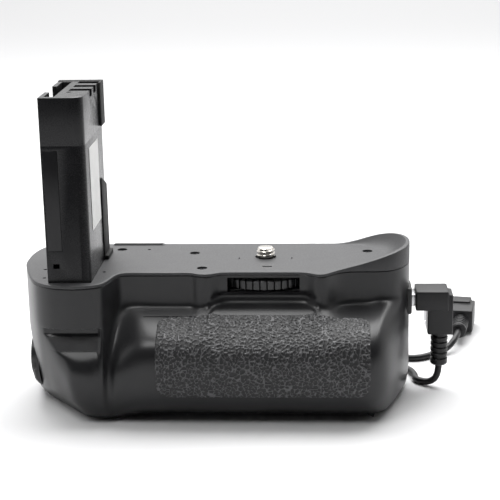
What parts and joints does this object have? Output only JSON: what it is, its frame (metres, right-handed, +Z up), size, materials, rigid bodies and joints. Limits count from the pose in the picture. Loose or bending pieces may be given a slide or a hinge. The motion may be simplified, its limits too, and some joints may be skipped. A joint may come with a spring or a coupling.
{
  "type": "camera battery grip",
  "caption": "Battery grip for a camera, with a cell-shaped tower, camera screw and thumbwheel, rubber pads, shutter button, cell tray and a plugged link cord.",
  "frame": {"origin": "where the camera screw's axis meets the top plate", "axes": "+Z up along the camera screw, +X from the tower to the link socket, front faces -Y"},
  "size_m": [0.1607, 0.1113, 0.1081],
  "materials": {
    "cover_plastic": "fine textured dark grey moulding",
    "body_plastic": "fine textured black moulding",
    "grip_rubber": "black rubber with raised cells",
    "wheel_plastic": "black ribbed moulding",
    "screw_steel": "bright nickel plate",
    "spring_steel": "pressed sheet steel",
    "black_steel": "black oxide screws",
    "inner_plastic": "smooth black moulding",
    "cell_wrap": "plain grey shell",
    "contact_brass": "gold plated",
    "knob_plastic": "satin black",
    "tower_plastic": "smooth black moulding",
    "strip_plastic": "smooth black insert",
    "flange_plastic": "matte black foam faced moulding",
    "label_film": "blank light film",
    "switch_plastic": "black",
    "board_laminate": "green laminate",
    "socket_plastic": "black moulding",
    "plug_plastic": "satin dark grey moulding",
    "plug_metal": "plated sheet",
    "cord_rubber": "satin black sheath"
  },
  "bodies": {
    "root": {"base_cover": "body_plastic", "base_screw_1": "black_steel", "base_screw_2": "black_steel", "base_screw_3": "black_steel", "base_screw_4": "black_steel", "bay_liner": "inner_plastic", "case_screw_1": "black_steel", "case_screw_2": "black_steel", "case_screw_3": "black_steel", "case_screw_4": "black_steel", "circuit_board": "board_laminate", "first_plug_body": "plug_plastic", "first_plug_nose": "plug_metal", "first_plug_relief": "cord_rubber", "front_pad": "grip_rubber", "front_shell": "body_plastic", "label_plate": "label_film", "link_cord": "cord_rubber", "link_socket": "socket_plastic", "lower_fin": "flange_plastic", "rear_pad": "grip_rubber", "rear_shell": "body_plastic", "screw_bracket": "spring_steel", "second_plug_body": "plug_plastic", "second_plug_nose": "plug_metal", "second_plug_relief": "cord_rubber", "shutter_switch": "switch_plastic", "side_strip": "strip_plastic", "socket_pin_1": "contact_brass", "socket_pin_2": "contact_brass", "socket_pin_3": "contact_brass", "socket_pin_4": "contact_brass", "top_cover": "cover_plastic", "tower_contact_1": "contact_brass", "tower_contact_2": "contact_brass", "tower_contact_3": "contact_brass", "tower_head": "tower_plastic", "tower_shell": "tower_plastic", "tripod_socket": "screw_steel", "upper_flange": "flange_plastic"},
    "screw_wheel": {"thumbwheel": "wheel_plastic", "camera_screw": "screw_steel", "retaining_clip": "spring_steel"},
    "shutter": {"shutter_button": "knob_plastic"},
    "lock_ring": {"lock_collar": "wheel_plastic"},
    "tray": {"cell_tray": "inner_plastic", "tray_door": "body_plastic", "lower_cell": "cell_wrap", "upper_cell": "cell_wrap", "tray_contact_1": "contact_brass", "tray_contact_2": "contact_brass", "tray_contact_3": "contact_brass", "tray_contact_4": "contact_brass", "tray_contact_5": "contact_brass", "tray_contact_6": "contact_brass"},
    "tray_lock": {"lock_knob": "knob_plastic", "lock_cam": "inner_plastic"}
  },
  "joints": [
    {"name": "screw_turn", "type": "hinge", "parent": "root", "child": "screw_wheel", "pos_m": [0, 0, 0], "axis": [0, 0, 1], "continuous": true},
    {"name": "shutter_press", "type": "slide", "parent": "root", "child": "shutter", "axis": [1, 0, 0], "range_m": [0, 0.001], "stiffness_N_per_m": 400},
    {"name": "lock_ring_turn", "type": "hinge", "parent": "root", "child": "lock_ring", "pos_m": [-0.0788, -0.009, -0.032], "axis": [1, 0, 0], "range_deg": [0, 40]},
    {"name": "tray_slide", "type": "slide", "parent": "root", "child": "tray", "axis": [0, 1, 0], "range_m": [0, 0.038]},
    {"name": "tray_lock_turn", "type": "hinge", "parent": "tray", "child": "tray_lock", "pos_m": [-0.0477, 0.016, -0.0298], "axis": [0, 1, 0], "range_deg": [0, 90]}
  ]
}
